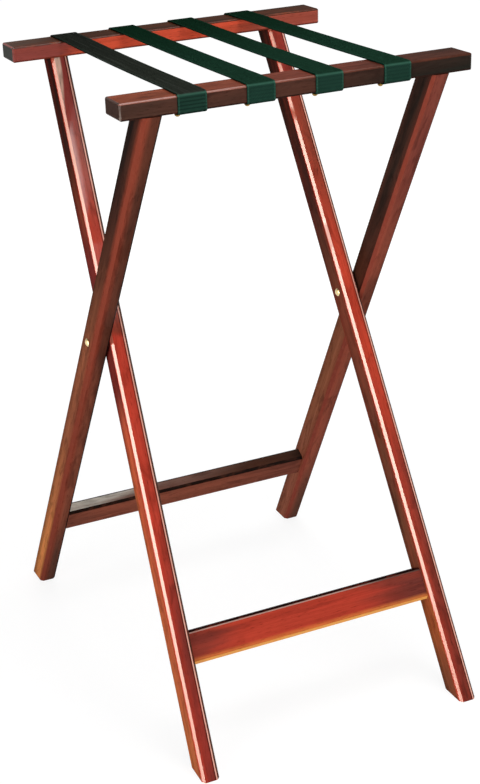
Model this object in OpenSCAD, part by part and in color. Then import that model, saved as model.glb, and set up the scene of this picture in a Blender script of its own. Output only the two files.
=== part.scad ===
// Folding tray stand: two crossed wooden frames on brass pivots, joined at the top by webbing straps.
// Shown open. X runs along the rails, the front is -Y, Z is up, and the origin is on the floor
// midway between the four feet.

/* [Overall] */
// Height from the floor to the top of the rails
stand_height = 787; // [600:1:950]
// Depth over the outer faces of both rails when open
open_depth = 394; // [300:1:480]
// Depth between the centres of the front and rear feet
foot_spread = 522; // [400:1:640]

/* [Rails] */
// Length of each top rail
rail_length = 416; // [400:1:560]
// Width of a rail, laid flat
rail_width = 41; // [36:0.5:56]
// Height of a rail
rail_height = 19; // [16:0.5:30]
// Radius along the edges of a rail
rail_edge = 2.5; // [1:0.1:4]
// Chamfer around the ends of a rail
rail_end_chamfer = 1.9; // [0.4:0.1:2.5]

/* [Legs] */
// Width of a leg across the frame's plane
leg_width = 33; // [26:0.5:34]
// Thickness of a leg along the rails
leg_thickness = 22; // [18:0.5:26]
// Chamfer along the edges of a leg
leg_edge = 3.4; // [1:0.1:7]
// How far a leg's top sits outside the middle of its rail
leg_offset = 1; // [-2:0.5:4]
// Width over the outer legs, just under the rail
outer_leg_span = 364; // [340:1:380]
// How much further out each foot stands than its leg's top
leg_splay = 28; // [0:1:40]

/* [Stretchers] */
// Width of a stretcher in the frame's plane
stretcher_width = 40; // [30:0.5:60]
// Thickness of a stretcher
stretcher_thickness = 19; // [14:0.5:20]
// Chamfer along the edges of a stretcher
stretcher_edge = 3.4; // [1:0.1:6]
// Distance down the legs from the pivot to the middle of a stretcher
stretcher_drop = 382; // [250:1:430]

/* [Pivots] */
// Diameter of a pivot post
post_diameter = 7; // [5:0.5:9]
// Diameter of the pivot heads
pivot_head_diameter = 10; // [8:0.5:14]
// Height of the domed pivot heads
pivot_head_height = 2.4; // [1.5:0.1:4]
// Diameter of the screw inside a pivot post
screw_diameter = 4; // [3:0.1:5]
// Diameter of the washers between the legs
washer_diameter = 16; // [13:0.5:20]
// Thickness of the washers between the legs
washer_thickness = 1; // [0.6:0.1:2]

/* [Straps] */
// Width of a webbing strap
strap_width = 33; // [24:1:42]
// Thickness of the webbing
strap_thickness = 1.6; // [1:0.1:2.5]
// Spacing of the four straps along the rails
strap_pitch = 79.5; // [64:0.5:84]
// How far the group of straps sits to one side
strap_shift = -11; // [-14:0.5:14]
// Length of strap turned in under a rail
strap_tail = 26; // [18:0.5:32]

/* [Fixings] */
// Diameter of the dowels that hold a leg to its rail
rail_dowel_diameter = 10; // [8:0.5:12]
// Diameter of the dowels that hold a stretcher to its legs
stretcher_dowel_diameter = 8; // [6:0.5:9]
// Diameter of the strap tacks' heads
tack_head_diameter = 6.5; // [5:0.1:8]
// Height of the strap tacks' domed heads
tack_head_height = 2.6; // [1.5:0.1:4]
// Diameter of the strap tacks' shanks
tack_shank_diameter = 1.8; // [1.2:0.1:2.5]
// Distance from the edges of a strap's tail to its tacks
tack_inset = 5; // [4:0.5:9]

/* [Fits] */
// Gap left in each glued joint
glue_gap = 0.05; // [0.02:0.01:0.1]
// Radial clearance of the pivot posts in the legs
pivot_clearance = 0.06; // [0.03:0.01:0.1]
// Clearance under the pivot heads
head_clearance = 0.08; // [0.05:0.01:0.2]
// Gap between webbing and wood
strap_gap = 0.3; // [0.2:0.05:0.5]
// Space kept between a strap's tail and a leg
trim_gap = 1; // [0.6:0.1:3]

/* [Hidden] */
$fn = 64;
// Run of every cut past the face it opens
overrun = 1;
// Small chamfer on the ends of the dowels
dowel_chamfer = 0.8;
// Parts of a length, as shares of it
dowel_leg_share = 1;
dowel_rail_share = 0.6;
stretcher_dowel_leg_share = 0.6;
stretcher_dowel_depth_share = 0.55;
stretcher_dowel_shares = [-0.26, 0.26];
post_bore_share = 0.8;
screw_reach_share = 0.5;
tack_set_shares = [0.28, 0.62];
tack_depth_share = 0.55;
strap_order_shares = [-1.5, -0.5, 0.5, 1.5];

// Crossed frames: the outer one leans to the front at its top, the inner one to the back
leg_rise = stand_height - rail_height;
rail_centre = open_depth / 2 - rail_width / 2;
leg_top_reach = rail_centre + leg_offset;
foot_reach = foot_spread / 2;
tilt = atan((leg_top_reach + foot_reach) / leg_rise);
pivot_height = leg_rise * foot_reach / (leg_top_reach + foot_reach);
slope_up = (leg_rise - pivot_height) / cos(tilt);
slope_down = pivot_height / cos(tilt);
splay = atan(leg_splay / (slope_up + slope_down));
leg_up = slope_up / cos(splay);
leg_down = slope_down / cos(splay);
leg_half = leg_thickness / 2 / cos(splay);
washer_rock = washer_diameter / 2 * tan(splay);
leg_gap = washer_thickness + 2 * washer_rock + 2 * head_clearance;
outer_leg_middle = outer_leg_span / 2 - leg_half + slope_up * tan(splay);
inner_leg_middle = outer_leg_middle - 2 * leg_half - leg_gap;

// Pivots
head_rock = pivot_head_diameter / 2 * tan(splay) + head_clearance;
post_start = outer_leg_middle + leg_half + head_rock;
post_end = inner_leg_middle - leg_half;
post_length = post_start - post_end;
screw_bore = screw_diameter + 2 * pivot_clearance;

// Straps
strap_under = stand_height + strap_gap;
tail_under = leg_rise - strap_gap - strap_thickness;
tail_limit = open_depth / 2 - strap_tail;
tack_depth = rail_height * tack_depth_share;

// Dowels
rail_dowel_bore = rail_dowel_diameter + 2 * glue_gap;
stretcher_dowel_bore = stretcher_dowel_diameter + 2 * glue_gap;
rail_dowel_in_leg = leg_width * dowel_leg_share;
rail_dowel_in_rail = rail_height * dowel_rail_share;
stretcher_dowel_in_leg = leg_thickness * stretcher_dowel_leg_share;
stretcher_dowel_in_board = stretcher_width * stretcher_dowel_depth_share;

wood_red = [0.48, 0.14, 0.09];
wood_pale = [0.78, 0.62, 0.42];
brass = [0.80, 0.62, 0.28];
steel = [0.70, 0.70, 0.68];
webbing_green = [0.05, 0.18, 0.13];

outer = 1;
inner = -1;
left = -1;
right = 1;
sides = [left, right];
straps = [0, 1, 2, 3];

function leg_middle(frame) = frame == outer ? outer_leg_middle : inner_leg_middle;
function leg_inner_face(frame, slope) = leg_middle(frame) - leg_half - slope * tan(splay);
function leg_top_low(frame) = leg_inner_face(frame, slope_up);
function leg_top_high(frame) = leg_top_low(frame) + 2 * leg_half;
function strap_middle(index) = strap_shift + strap_order_shares[index] * strap_pitch;
function strap_low(index) = strap_middle(index) - strap_width / 2;
function strap_high(index) = strap_middle(index) + strap_width / 2;
// A tail that meets a leg is trimmed on that side, so its tacks move over with it
function meets(index, low, high) = strap_high(index) > low && strap_low(index) < high;
function clear_low(frame) = leg_top_low(frame) - trim_gap;
function clear_high(frame) = leg_top_high(frame) + trim_gap;
function tail_low(index, frame) =
    meets(index, -clear_high(frame), -clear_low(frame)) ? -clear_low(frame) : strap_low(index);
function tail_high(index, frame) =
    meets(index, clear_low(frame), clear_high(frame)) ? clear_low(frame) : strap_high(index);
function tail_middle(index, frame) = (tail_low(index, frame) + tail_high(index, frame)) / 2;
function tack_offset(index, frame) =
    max(0, tail_high(index, frame) - tail_middle(index, frame) - tack_inset);
function cap_radius(diameter, height) = (diameter * diameter / 4 + height * height) / (2 * height);

// A rectangle with rounded corners
module rounded_rectangle(width, height, radius) {
    square([width - 2 * radius, height], center = true);
    square([width, height - 2 * radius], center = true);
    for (across = sides) {
        for (up = sides) {
            translate([across * (width / 2 - radius), up * (height / 2 - radius)])
                circle(r = radius);
        }
    }
}

// A rectangle with its corners planed off
module chamfered_rectangle(width, height, chamfer) {
    across = width / 2;
    up = height / 2;
    polygon([
        [across, chamfer - up],
        [across, up - chamfer],
        [across - chamfer, up],
        [chamfer - across, up],
        [-across, up - chamfer],
        [-across, chamfer - up],
        [chamfer - across, -up],
        [across - chamfer, -up]
    ]);
}

// A shallow dome on the plane z = 0
module dome(diameter, height) {
    radius = cap_radius(diameter, height);
    intersection() {
        translate([0, 0, height - radius])
            sphere(r = radius);
        cylinder(d = diameter + overrun, h = height + overrun);
    }
}

// A dowel along z, from one end to the other
module dowel(diameter, low, high) {
    radius = diameter / 2;
    rotate_extrude()
        polygon([
            [0, low],
            [radius - dowel_chamfer, low],
            [radius, low + dowel_chamfer],
            [radius, high - dowel_chamfer],
            [radius - dowel_chamfer, high],
            [0, high]
        ]);
}

// A plain bore along z
module bore(diameter, low, high) {
    translate([0, 0, low])
        cylinder(d = diameter, h = high - low);
}

// The plane of one frame: z runs up its slope from the pivot line
module in_frame(frame) {
    translate([0, 0, pivot_height])
        rotate([frame * tilt, 0, 0])
            children();
}

// The middle line of one leg: z runs up the leg from the pivot line
module in_leg(frame, side) {
    in_frame(frame)
        translate([side * leg_middle(frame), 0, 0])
            rotate([0, -side * splay, 0])
                children();
}

// The pivot line at one side: z runs outward
module at_pivot(side) {
    translate([0, 0, pivot_height])
        rotate([0, side * 90, 0])
            children();
}

// The dowel lines at one side of a stretcher: z runs outward from the leg's inner face
module at_stretcher_dowels(frame, side) {
    in_frame(frame)
        for (share = stretcher_dowel_shares) {
            slope = share * stretcher_width - stretcher_drop;
            translate([side * leg_inner_face(frame, slope), 0, slope])
                rotate([0, side * 90, 0])
                    children();
        }
}

// The two staggered tack lines of a tail: z runs up into the rail from the underside of the tail
module at_tacks(frame, index) {
    for (side = sides) {
        set_in = strap_tail * (side == left ? tack_set_shares[0] : tack_set_shares[1]);
        across = tail_middle(index, frame) + side * tack_offset(index, frame);
        translate([across, -frame * (open_depth / 2 - set_in), tail_under])
            children();
    }
}

// One leg, cut level at the floor and under its rail
module leg(frame, side) {
    color(wood_red)
        difference() {
            intersection() {
                in_leg(frame, side)
                    translate([0, 0, -leg_down - leg_width])
                        linear_extrude(height = leg_down + leg_up + 2 * leg_width)
                            chamfered_rectangle(leg_thickness, leg_width, leg_edge);
                translate([-rail_length, -foot_spread, 0])
                    cube([2 * rail_length, 2 * foot_spread, leg_rise - glue_gap]);
            }
            at_pivot(side)
                bore(post_diameter + 2 * pivot_clearance, 0, rail_length);
            in_leg(frame, side)
                bore(rail_dowel_bore, leg_up - rail_dowel_in_leg - overrun, leg_up + leg_width);
            at_stretcher_dowels(frame, side)
                bore(stretcher_dowel_bore, -leg_thickness, stretcher_dowel_in_leg + overrun);
        }
}

// A plan or side outline that takes the corners off a rail's ends
module end_outline(length, width) {
    end = length / 2;
    edge = width / 2;
    past = edge + overrun;
    back = end - rail_end_chamfer - overrun;
    polygon([
        [end, rail_end_chamfer - edge],
        [end, edge - rail_end_chamfer],
        [back, past],
        [-back, past],
        [-end, edge - rail_end_chamfer],
        [-end, rail_end_chamfer - edge],
        [-back, -past],
        [back, -past]
    ]);
}

// One top rail, laid flat with eased edges and chamfered ends
module rail(frame) {
    color(wood_red)
        difference() {
            translate([0, -frame * rail_centre, leg_rise + rail_height / 2])
                intersection() {
                    rotate([0, 90, 0])
                        linear_extrude(height = rail_length + 2 * overrun, center = true)
                            rounded_rectangle(rail_height, rail_width, rail_edge);
                    linear_extrude(height = rail_height + 2 * overrun, center = true)
                        end_outline(rail_length, rail_width);
                    rotate([90, 0, 0])
                        linear_extrude(height = rail_width + 2 * overrun, center = true)
                            end_outline(rail_length, rail_height);
                }
            for (side = sides) {
                in_leg(frame, side)
                    bore(rail_dowel_bore, leg_up - leg_width, leg_up + rail_dowel_in_rail + overrun);
            }
            for (index = straps) {
                at_tacks(frame, index)
                    bore(tack_shank_diameter + 2 * glue_gap, 0, tack_depth + overrun);
            }
        }
}

// One stretcher, its ends scribed to the splayed legs
module stretcher(frame) {
    low = -stretcher_drop - stretcher_width / 2 - overrun;
    high = -stretcher_drop + stretcher_width / 2 + overrun;
    half_low = leg_inner_face(frame, low) - glue_gap;
    half_high = leg_inner_face(frame, high) - glue_gap;
    color(wood_red)
        difference() {
            in_frame(frame)
                intersection() {
                    translate([0, 0, -stretcher_drop])
                        rotate([0, 90, 0])
                            linear_extrude(height = rail_length, center = true)
                                chamfered_rectangle(stretcher_width, stretcher_thickness, stretcher_edge);
                    rotate([90, 0, 0])
                        linear_extrude(height = leg_width, center = true)
                            polygon([
                                [-half_low, low],
                                [half_low, low],
                                [half_high, high],
                                [-half_high, high]
                            ]);
                }
            for (side = sides) {
                at_stretcher_dowels(frame, side)
                    bore(stretcher_dowel_bore, -stretcher_dowel_in_board - overrun, leg_thickness);
            }
        }
}

module rail_dowels(frame) {
    color(wood_pale)
        for (side = sides) {
            in_leg(frame, side)
                dowel(rail_dowel_diameter, leg_up - rail_dowel_in_leg, leg_up + rail_dowel_in_rail);
        }
}

module stretcher_dowels(frame) {
    color(wood_pale)
        for (side = sides) {
            at_stretcher_dowels(frame, side)
                dowel(stretcher_dowel_diameter, -stretcher_dowel_in_board, stretcher_dowel_in_leg);
        }
}

// A hollow post with a domed head on the outer leg
module pivot_post(side) {
    color(brass)
        at_pivot(side)
            difference() {
                union() {
                    translate([0, 0, post_start])
                        dome(pivot_head_diameter, pivot_head_height);
                    translate([0, 0, post_end])
                        cylinder(d = post_diameter, h = post_length + overrun / 2);
                }
                bore(screw_bore, post_end - overrun, post_end + post_length * post_bore_share);
            }
}

// The screw that closes a post, with a domed head on the inner leg
module pivot_screw(side) {
    color(brass)
        at_pivot(side)
            union() {
                translate([0, 0, post_end - head_rock])
                    rotate([180, 0, 0])
                        dome(pivot_head_diameter, pivot_head_height);
                translate([0, 0, post_end - head_rock - overrun / 2])
                    cylinder(d = screw_diameter, h = post_length * screw_reach_share);
            }
}

// The washer that keeps an outer and an inner leg apart
module pivot_washer(side) {
    middle = (outer_leg_middle + inner_leg_middle) / 2;
    color(steel)
        at_pivot(side)
            translate([0, 0, middle - washer_thickness / 2])
                difference() {
                    cylinder(d = washer_diameter, h = washer_thickness);
                    bore(post_diameter + 2 * pivot_clearance, -overrun, washer_thickness + overrun);
                }
}

// A rail's section, grown by the given amount
module grown_rail(frame, grow) {
    translate([-frame * rail_centre, leg_rise + rail_height / 2])
        rounded_rectangle(rail_width + 2 * grow, rail_height + 2 * grow, rail_edge + grow);
}

// The path of a strap seen from the side: over both rails, down their outer faces and in underneath
module strap_path() {
    difference() {
        union() {
            grown_rail(outer, strap_gap + strap_thickness);
            grown_rail(inner, strap_gap + strap_thickness);
            translate([-rail_centre, strap_under])
                square([2 * rail_centre, strap_thickness]);
        }
        grown_rail(outer, strap_gap);
        grown_rail(inner, strap_gap);
        translate([-tail_limit, strap_under - 2 * rail_height])
            square([2 * tail_limit, 2 * rail_height]);
    }
}

// The space that the straps leave under a rail, around the top of one leg
module leg_clearing(frame, side) {
    low = clear_low(frame);
    high = clear_high(frame);
    reach = open_depth / 2 + rail_height;
    translate([side == right ? low : -high, frame == outer ? -reach : 0, leg_rise - rail_height])
        cube([high - low, reach, rail_height]);
}

module strap(index) {
    color(webbing_green)
        difference() {
            translate([strap_low(index), 0, 0])
                rotate([90, 0, 90])
                    linear_extrude(height = strap_width)
                        strap_path();
            for (frame = [outer, inner]) {
                for (side = sides) {
                    leg_clearing(frame, side);
                }
                at_tacks(frame, index)
                    bore(tack_shank_diameter + 2 * strap_gap, -overrun, strap_thickness + overrun);
            }
        }
}

// Domed tacks that hold the strap tails under one rail
module tacks(frame) {
    color(brass)
        for (index = straps) {
            at_tacks(frame, index)
                union() {
                    translate([0, 0, -head_clearance])
                        rotate([180, 0, 0])
                            dome(tack_head_diameter, tack_head_height);
                    translate([0, 0, -head_clearance - overrun / 2])
                        cylinder(d = tack_shank_diameter, h = tack_depth + head_clearance + overrun / 2);
                }
        }
}

module front_rail() { rail(outer); }
module back_rail() { rail(inner); }
module outer_leg_left() { leg(outer, left); }
module outer_leg_right() { leg(outer, right); }
module inner_leg_left() { leg(inner, left); }
module inner_leg_right() { leg(inner, right); }
module rear_stretcher() { stretcher(outer); }
module front_stretcher() { stretcher(inner); }
module front_rail_dowels() { rail_dowels(outer); }
module back_rail_dowels() { rail_dowels(inner); }
module rear_stretcher_dowels() { stretcher_dowels(outer); }
module front_stretcher_dowels() { stretcher_dowels(inner); }
module pivot_post_left() { pivot_post(left); }
module pivot_post_right() { pivot_post(right); }
module pivot_screw_left() { pivot_screw(left); }
module pivot_screw_right() { pivot_screw(right); }
module pivot_washer_left() { pivot_washer(left); }
module pivot_washer_right() { pivot_washer(right); }
module strap_1() { strap(0); }
module strap_2() { strap(1); }
module strap_3() { strap(2); }
module strap_4() { strap(3); }
module front_rail_tacks() { tacks(outer); }
module back_rail_tacks() { tacks(inner); }

front_rail();
back_rail();
outer_leg_left();
outer_leg_right();
inner_leg_left();
inner_leg_right();
rear_stretcher();
front_stretcher();
front_rail_dowels();
back_rail_dowels();
rear_stretcher_dowels();
front_stretcher_dowels();
pivot_post_left();
pivot_post_right();
pivot_screw_left();
pivot_screw_right();
pivot_washer_left();
pivot_washer_right();
strap_1();
strap_2();
strap_3();
strap_4();
front_rail_tacks();
back_rail_tacks();
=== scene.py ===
import bpy
import numpy as np
from mathutils import Matrix, Vector


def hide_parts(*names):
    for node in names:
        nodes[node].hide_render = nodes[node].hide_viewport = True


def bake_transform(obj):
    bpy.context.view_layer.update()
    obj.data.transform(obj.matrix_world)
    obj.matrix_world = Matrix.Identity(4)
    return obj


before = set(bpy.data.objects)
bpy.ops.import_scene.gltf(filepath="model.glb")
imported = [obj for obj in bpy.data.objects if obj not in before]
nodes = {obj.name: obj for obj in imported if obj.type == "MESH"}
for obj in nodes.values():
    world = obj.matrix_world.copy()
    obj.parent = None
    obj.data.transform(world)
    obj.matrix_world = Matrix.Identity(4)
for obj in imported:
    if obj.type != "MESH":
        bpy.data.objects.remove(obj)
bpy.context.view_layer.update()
print("frame: %d pieces of the stand loaded" % len(nodes))

# the stand's own lines, in metres and degrees
stand = {
    "height": 0.787,
    "pivot": 0.457122007,
    "tilt": 29.7248,
    "splay": 1.8134,
    "outerLeg": 0.1823286,    # a leg's middle line at the pivot
    "innerLeg": 0.1586510,
    "legWidth": 0.033,
    "legThick": 0.022,
    "railLength": 0.416,
    "railWidth": 0.041,
    "railHeight": 0.019,
    "railMiddle": 0.1765,
    "boardWidth": 0.040,
    "boardThick": 0.019,
    "boardDrop": 0.382,
    "endless": 4.0,           # stands in for the length where an end has no finish of its own
}


def tone(text):
    # sRGB hex to the linear colour that a socket takes
    part = np.array([int(text[i:i + 2], 16) for i in (0, 2, 4)]) / 255.0
    linear = np.where(part <= 0.04045, part / 12.92, ((part + 0.055) / 1.055) ** 2.4)
    return tuple(float(c) for c in linear) + (1.0,)


# camera at the photograph's angle, found by fitting the stand's outline
camera = {
    "lens": 69.229,
    "sensor": 36.0,
    "turn": -21.4998,
    "rise": 23.1312,
    "roll": -3.1750,
    "across": -0.0941,
    "upward": -0.0170,
    "away": 1.9009,
    "shift": (0.10204, -0.02316),
    "clip": (0.05, 60.0),
}


def placeCamera(values):
    # looks along -back; right and up are turned about it by the roll
    turn, rise, roll = np.radians([values["turn"], values["rise"], values["roll"]])
    back = np.array([np.sin(turn) * np.cos(rise), -np.cos(turn) * np.cos(rise), np.sin(rise)])
    right = np.cross([0.0, 0.0, 1.0], back)
    right /= np.linalg.norm(right)
    up = np.cross(back, right)
    right, up = np.cos(roll) * right + np.sin(roll) * up, np.cos(roll) * up - np.sin(roll) * right
    place = np.array([0.0, 0.0, stand["height"] / 2])
    place = place + right * values["across"] + up * values["upward"] + back * values["away"]
    data = bpy.data.cameras.new("viewCamera")
    data.lens = values["lens"]
    data.sensor_width = values["sensor"]
    data.shift_x, data.shift_y = values["shift"]
    data.clip_start, data.clip_end = values["clip"]
    eye = bpy.data.objects.new("viewCamera", data)
    bpy.context.scene.collection.objects.link(eye)
    turned = np.eye(4)
    turned[:3, :3] = np.stack([right, up, back], 1)
    turned[:3, 3] = place
    eye.matrix_world = Matrix(turned.tolist())
    bpy.context.scene.camera = eye


placeCamera(camera)
print("camera: placed")


# node helpers
def fill(tree, node, values):
    # a value that is a socket gets linked, any other is set
    for key, value in values.items():
        if isinstance(value, bpy.types.NodeSocket):
            tree.links.new(value, node.inputs[key])
        else:
            node.inputs[key].default_value = value


def addNode(tree, kind, values=None, **settings):
    node = tree.nodes.new("ShaderNode" + kind)
    for key, value in settings.items():
        setattr(node, key, value)
    fill(tree, node, values or {})
    return node


def calc(tree, operation, first, second=0.0, third=0.0, clamp=False):
    values = {0: first, 1: second, 2: third}
    return addNode(tree, "Math", values, operation=operation, use_clamp=clamp).outputs[0]


def times(tree, first, *others):
    for other in others:
        first = calc(tree, "MULTIPLY", first, other)
    return first


def less(tree, mask):
    # what a mask leaves out
    return calc(tree, "SUBTRACT", 1.0, mask)


def ramp(tree, value, low, high, start=0.0, end=1.0):
    # smooth step from start to end as value goes from low to high
    values = {"Value": value, "From Min": low, "From Max": high, "To Min": start, "To Max": end}
    return addNode(tree, "MapRange", values, interpolation_type="SMOOTHSTEP").outputs["Result"]


def between(tree, value, marks, share=1.0):
    # rises over the first two marks and falls over the last two
    return times(tree, ramp(tree, value, *marks[:2]), ramp(tree, value, *marks[2:], share, 0.0))


def mixTone(tree, share, first, second):
    # in the Mix node, sockets 6 and 7 are the colours and output 2 is the mixed one
    return addNode(tree, "Mix", {0: share, 6: first, 7: second}, data_type="RGBA").outputs[2]


def noise(tree, vector, look):
    spread = addNode(tree, "Mapping", {"Vector": vector, "Scale": look["stretch"]}).outputs["Vector"]
    values = {
        "Vector": spread, "Scale": 1.0, "Detail": look["detail"], "Roughness": look["rough"],
        "Distortion": look.get("distort", 0.0)}
    return addNode(tree, "TexNoise", values).outputs["Fac"]


def bumped(tree, height, look):
    values = {"Height": height, "Strength": look["strength"], "Distance": look["distance"]}
    return addNode(tree, "Bump", values).outputs["Normal"]


def newGroup(name, takes, gives):
    # takes and gives: the kind of each socket by its label
    tree = bpy.data.node_groups.new(name, "ShaderNodeTree")
    for way, sockets in (("INPUT", takes), ("OUTPUT", gives)):
        for label, kind in sockets.items():
            tree.interface.new_socket(label, in_out=way, socket_type="NodeSocket" + kind)
    return tree, tree.nodes.new("NodeGroupInput").outputs, tree.nodes.new("NodeGroupOutput")


def useGroup(tree, group, values):
    return addNode(tree, "Group", values, node_tree=group).outputs


def floats(*labels):
    return {label: "Float" for label in labels}


def newMaterial(name):
    material = bpy.data.materials.new(name)
    material.use_nodes = True
    tree = material.node_tree
    tree.nodes.clear()
    shader = addNode(tree, "BsdfPrincipled")
    addNode(tree, "OutputMaterial", {"Surface": shader.outputs["BSDF"]})
    return material, tree, shader


# stained wood: grain, eased edges and handling marks are groups shared by the eight boards.
# A noise is stretched along, wide and thick; its mask runs from the first value to the second
grains = {
    "figure": {"stretch": (5.0, 42.0, 42.0), "detail": 3.0, "rough": 0.55, "distort": 0.6, "mask": (0.30, 0.72)},
    "band": {"stretch": (2.2, 130.0, 130.0), "detail": 4.0, "rough": 0.6, "distort": 0.4},
    "fibre": {"stretch": (11.0, 520.0, 520.0), "detail": 3.0, "rough": 0.6, "distort": 0.2},
    "pore": {"stretch": (95.0, 1500.0, 1500.0), "detail": 2.0, "rough": 0.5, "mask": (0.60, 0.70)},
    "mottle": {"stretch": (17.0, 62.0, 62.0), "detail": 4.0, "rough": 0.6, "distort": 1.2, "mask": (0.48, 0.70)},
    "streak": {"band": 0.6, "fibre": 0.4, "mask": (0.34, 0.66)},
    "height": {"fibre": 0.35, "pore": 0.8},
}


def makeGrain(look):
    # figure: slow noise along the board; fibre: noise stretched near 50 to 1; pores: short thin dashes;
    # mottle: clouds where the stain took darker
    tree, source, sink = newGroup(
        "stainedGrain", {"Vector": "Vector", "Shift": "Vector"},
        floats("Figure", "Fibre", "Pores", "Mottle", "Height"))
    moved = addNode(tree, "VectorMath", {0: source["Vector"], 1: source["Shift"]}, operation="ADD").outputs[0]
    figure, band, fibre, pore, mottle = (
        noise(tree, moved, look[key]) for key in ("figure", "band", "fibre", "pore", "mottle"))
    pores = ramp(tree, pore, *look["pore"]["mask"])
    streak = calc(tree, "MULTIPLY_ADD", band, look["streak"]["band"], times(tree, fibre, look["streak"]["fibre"]))
    raised = times(tree, fibre, look["height"]["fibre"])
    fill(tree, sink, {
        "Figure": ramp(tree, figure, *look["figure"]["mask"]),
        "Fibre": ramp(tree, streak, *look["streak"]["mask"]),
        "Pores": pores,
        "Mottle": ramp(tree, mottle, *look["mottle"]["mask"]),
        "Height": calc(tree, "SUBTRACT", raised, times(tree, pores, look["height"]["pore"])),
    })
    return tree


eases = {
    "butt": 0.0003,           # depth of the end grain
    "tip": 0.0020,            # and of the eased end
    "softHighlight": 0.0085,          # width of the strip beside the leading corner, where the soft highlight is painted
    "side": 0.02,             # a flank reaches this share of the half thickness under its surface
    "rub": {"stretch": (60.0, 190.0, 190.0), "detail": 4.0, "rough": 0.65, "mask": (0.50, 0.70)},
}


def makeEase(look):
    # depth of a point under each face: on an eased corner both depths are less than the corner's reach.
    # Lead, Trail, Crest and Heel tell the four long corners apart (low or high wide, high or low thick),
    # Slope runs over a corner from the face to the flank, Inset is a flat point's distance from a corner,
    # Soft Highlight the strip beside the leading corner for a painted soft highlight, Butt the end grain,
    # Tip the eased end
    tree, source, sink = newGroup(
        "easedEdge", {"Vector": "Vector", **floats("Half Length", "Half Width", "Half Thick", "Reach")},
        floats("Edge", "Lead", "Trail", "Crest", "Heel", "Inset", "Rub", "Side", "Upper", "Across", "Butt", "Tip",
               "Slope", "Soft Highlight"))
    parts = addNode(tree, "SeparateXYZ", {0: source["Vector"]}).outputs
    far, wide, thick = (
        calc(tree, "SUBTRACT", source[half], calc(tree, "ABSOLUTE", parts[axis]))
        for half, axis in (("Half Length", "X"), ("Half Width", "Y"), ("Half Thick", "Z")))
    depth = calc(tree, "MAXIMUM", wide, thick)
    edge = calc(tree, "LESS_THAN", depth, source["Reach"])
    below = calc(tree, "LESS_THAN", parts["Y"], 0.0)
    left = calc(tree, "GREATER_THAN", parts["Z"], 0.0)
    low = times(tree, edge, below)
    high = calc(tree, "SUBTRACT", edge, low)
    lead = times(tree, low, left)
    crest = times(tree, high, left)
    butt = calc(tree, "LESS_THAN", far, look["butt"])
    inset = calc(tree, "SUBTRACT", depth, source["Reach"])
    across = calc(tree, "DIVIDE", parts["Z"], source["Half Thick"])
    upper = calc(tree, "DIVIDE", parts["Y"], source["Half Width"])
    rubbed = noise(tree, source["Vector"], look["rub"])
    fill(tree, sink, {
        "Edge": edge,
        "Lead": lead,
        "Trail": calc(tree, "SUBTRACT", low, lead),
        "Crest": crest,
        "Heel": calc(tree, "SUBTRACT", high, crest),
        "Inset": inset,
        "Slope": calc(tree, "DIVIDE", wide, source["Reach"]),
        "Soft Highlight": times(tree, left, below, ramp(tree, inset, 0.0, look["softHighlight"], 1.0, 0.0)),
        "Rub": times(tree, edge, ramp(tree, rubbed, *look["rub"]["mask"])),
        "Side": calc(tree, "LESS_THAN", thick, times(tree, source["Half Thick"], look["side"])),
        "Upper": calc(tree, "MULTIPLY_ADD", upper, 0.5, 0.5),
        "Across": calc(tree, "MULTIPLY_ADD", across, 0.5, 0.5),
        "Butt": butt,
        "Tip": calc(tree, "SUBTRACT", calc(tree, "LESS_THAN", far, look["tip"]), butt),
    })
    return tree


handling = {
    "smudge": {"stretch": (16.0, 24.0, 24.0), "detail": 4.0, "rough": 0.6, "distort": 0.8, "mask": (0.35, 0.68)},
    "scuff": {"stretch": (420.0, 90.0, 90.0), "detail": 2.0, "rough": 0.5, "mask": (0.66, 0.74)},
}


def makeHandling(look):
    # soft smudges and fine rubbing in the varnish
    tree, source, sink = newGroup("handledVarnish", {"Vector": "Vector"}, floats("Smudge", "Scuff"))
    for label, key in (("Smudge", "smudge"), ("Scuff", "scuff")):
        mark = noise(tree, source["Vector"], look[key])
        fill(tree, sink, {label: ramp(tree, mark, *look[key]["mask"])})
    return tree


grainGroup = makeGrain(grains)
easeGroup = makeEase(eases)
handledGroup = makeHandling(handling)

# the long corners that all legs of a frame share, with their gloss; the near black ones are painted shade along the
# edges
outerCorners = {"Trail": ("1e120e", 0.04), "Crest": ("1e120e", 0.04), "Heel": ("1e120e", 0.04)}
innerCorners = {
    "Lead": ("bc6450", 1.0), "Trail": ("46281f", 0.10), "Crest": ("24120e", 0.05), "Heel": ("24120e", 0.05)}
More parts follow.
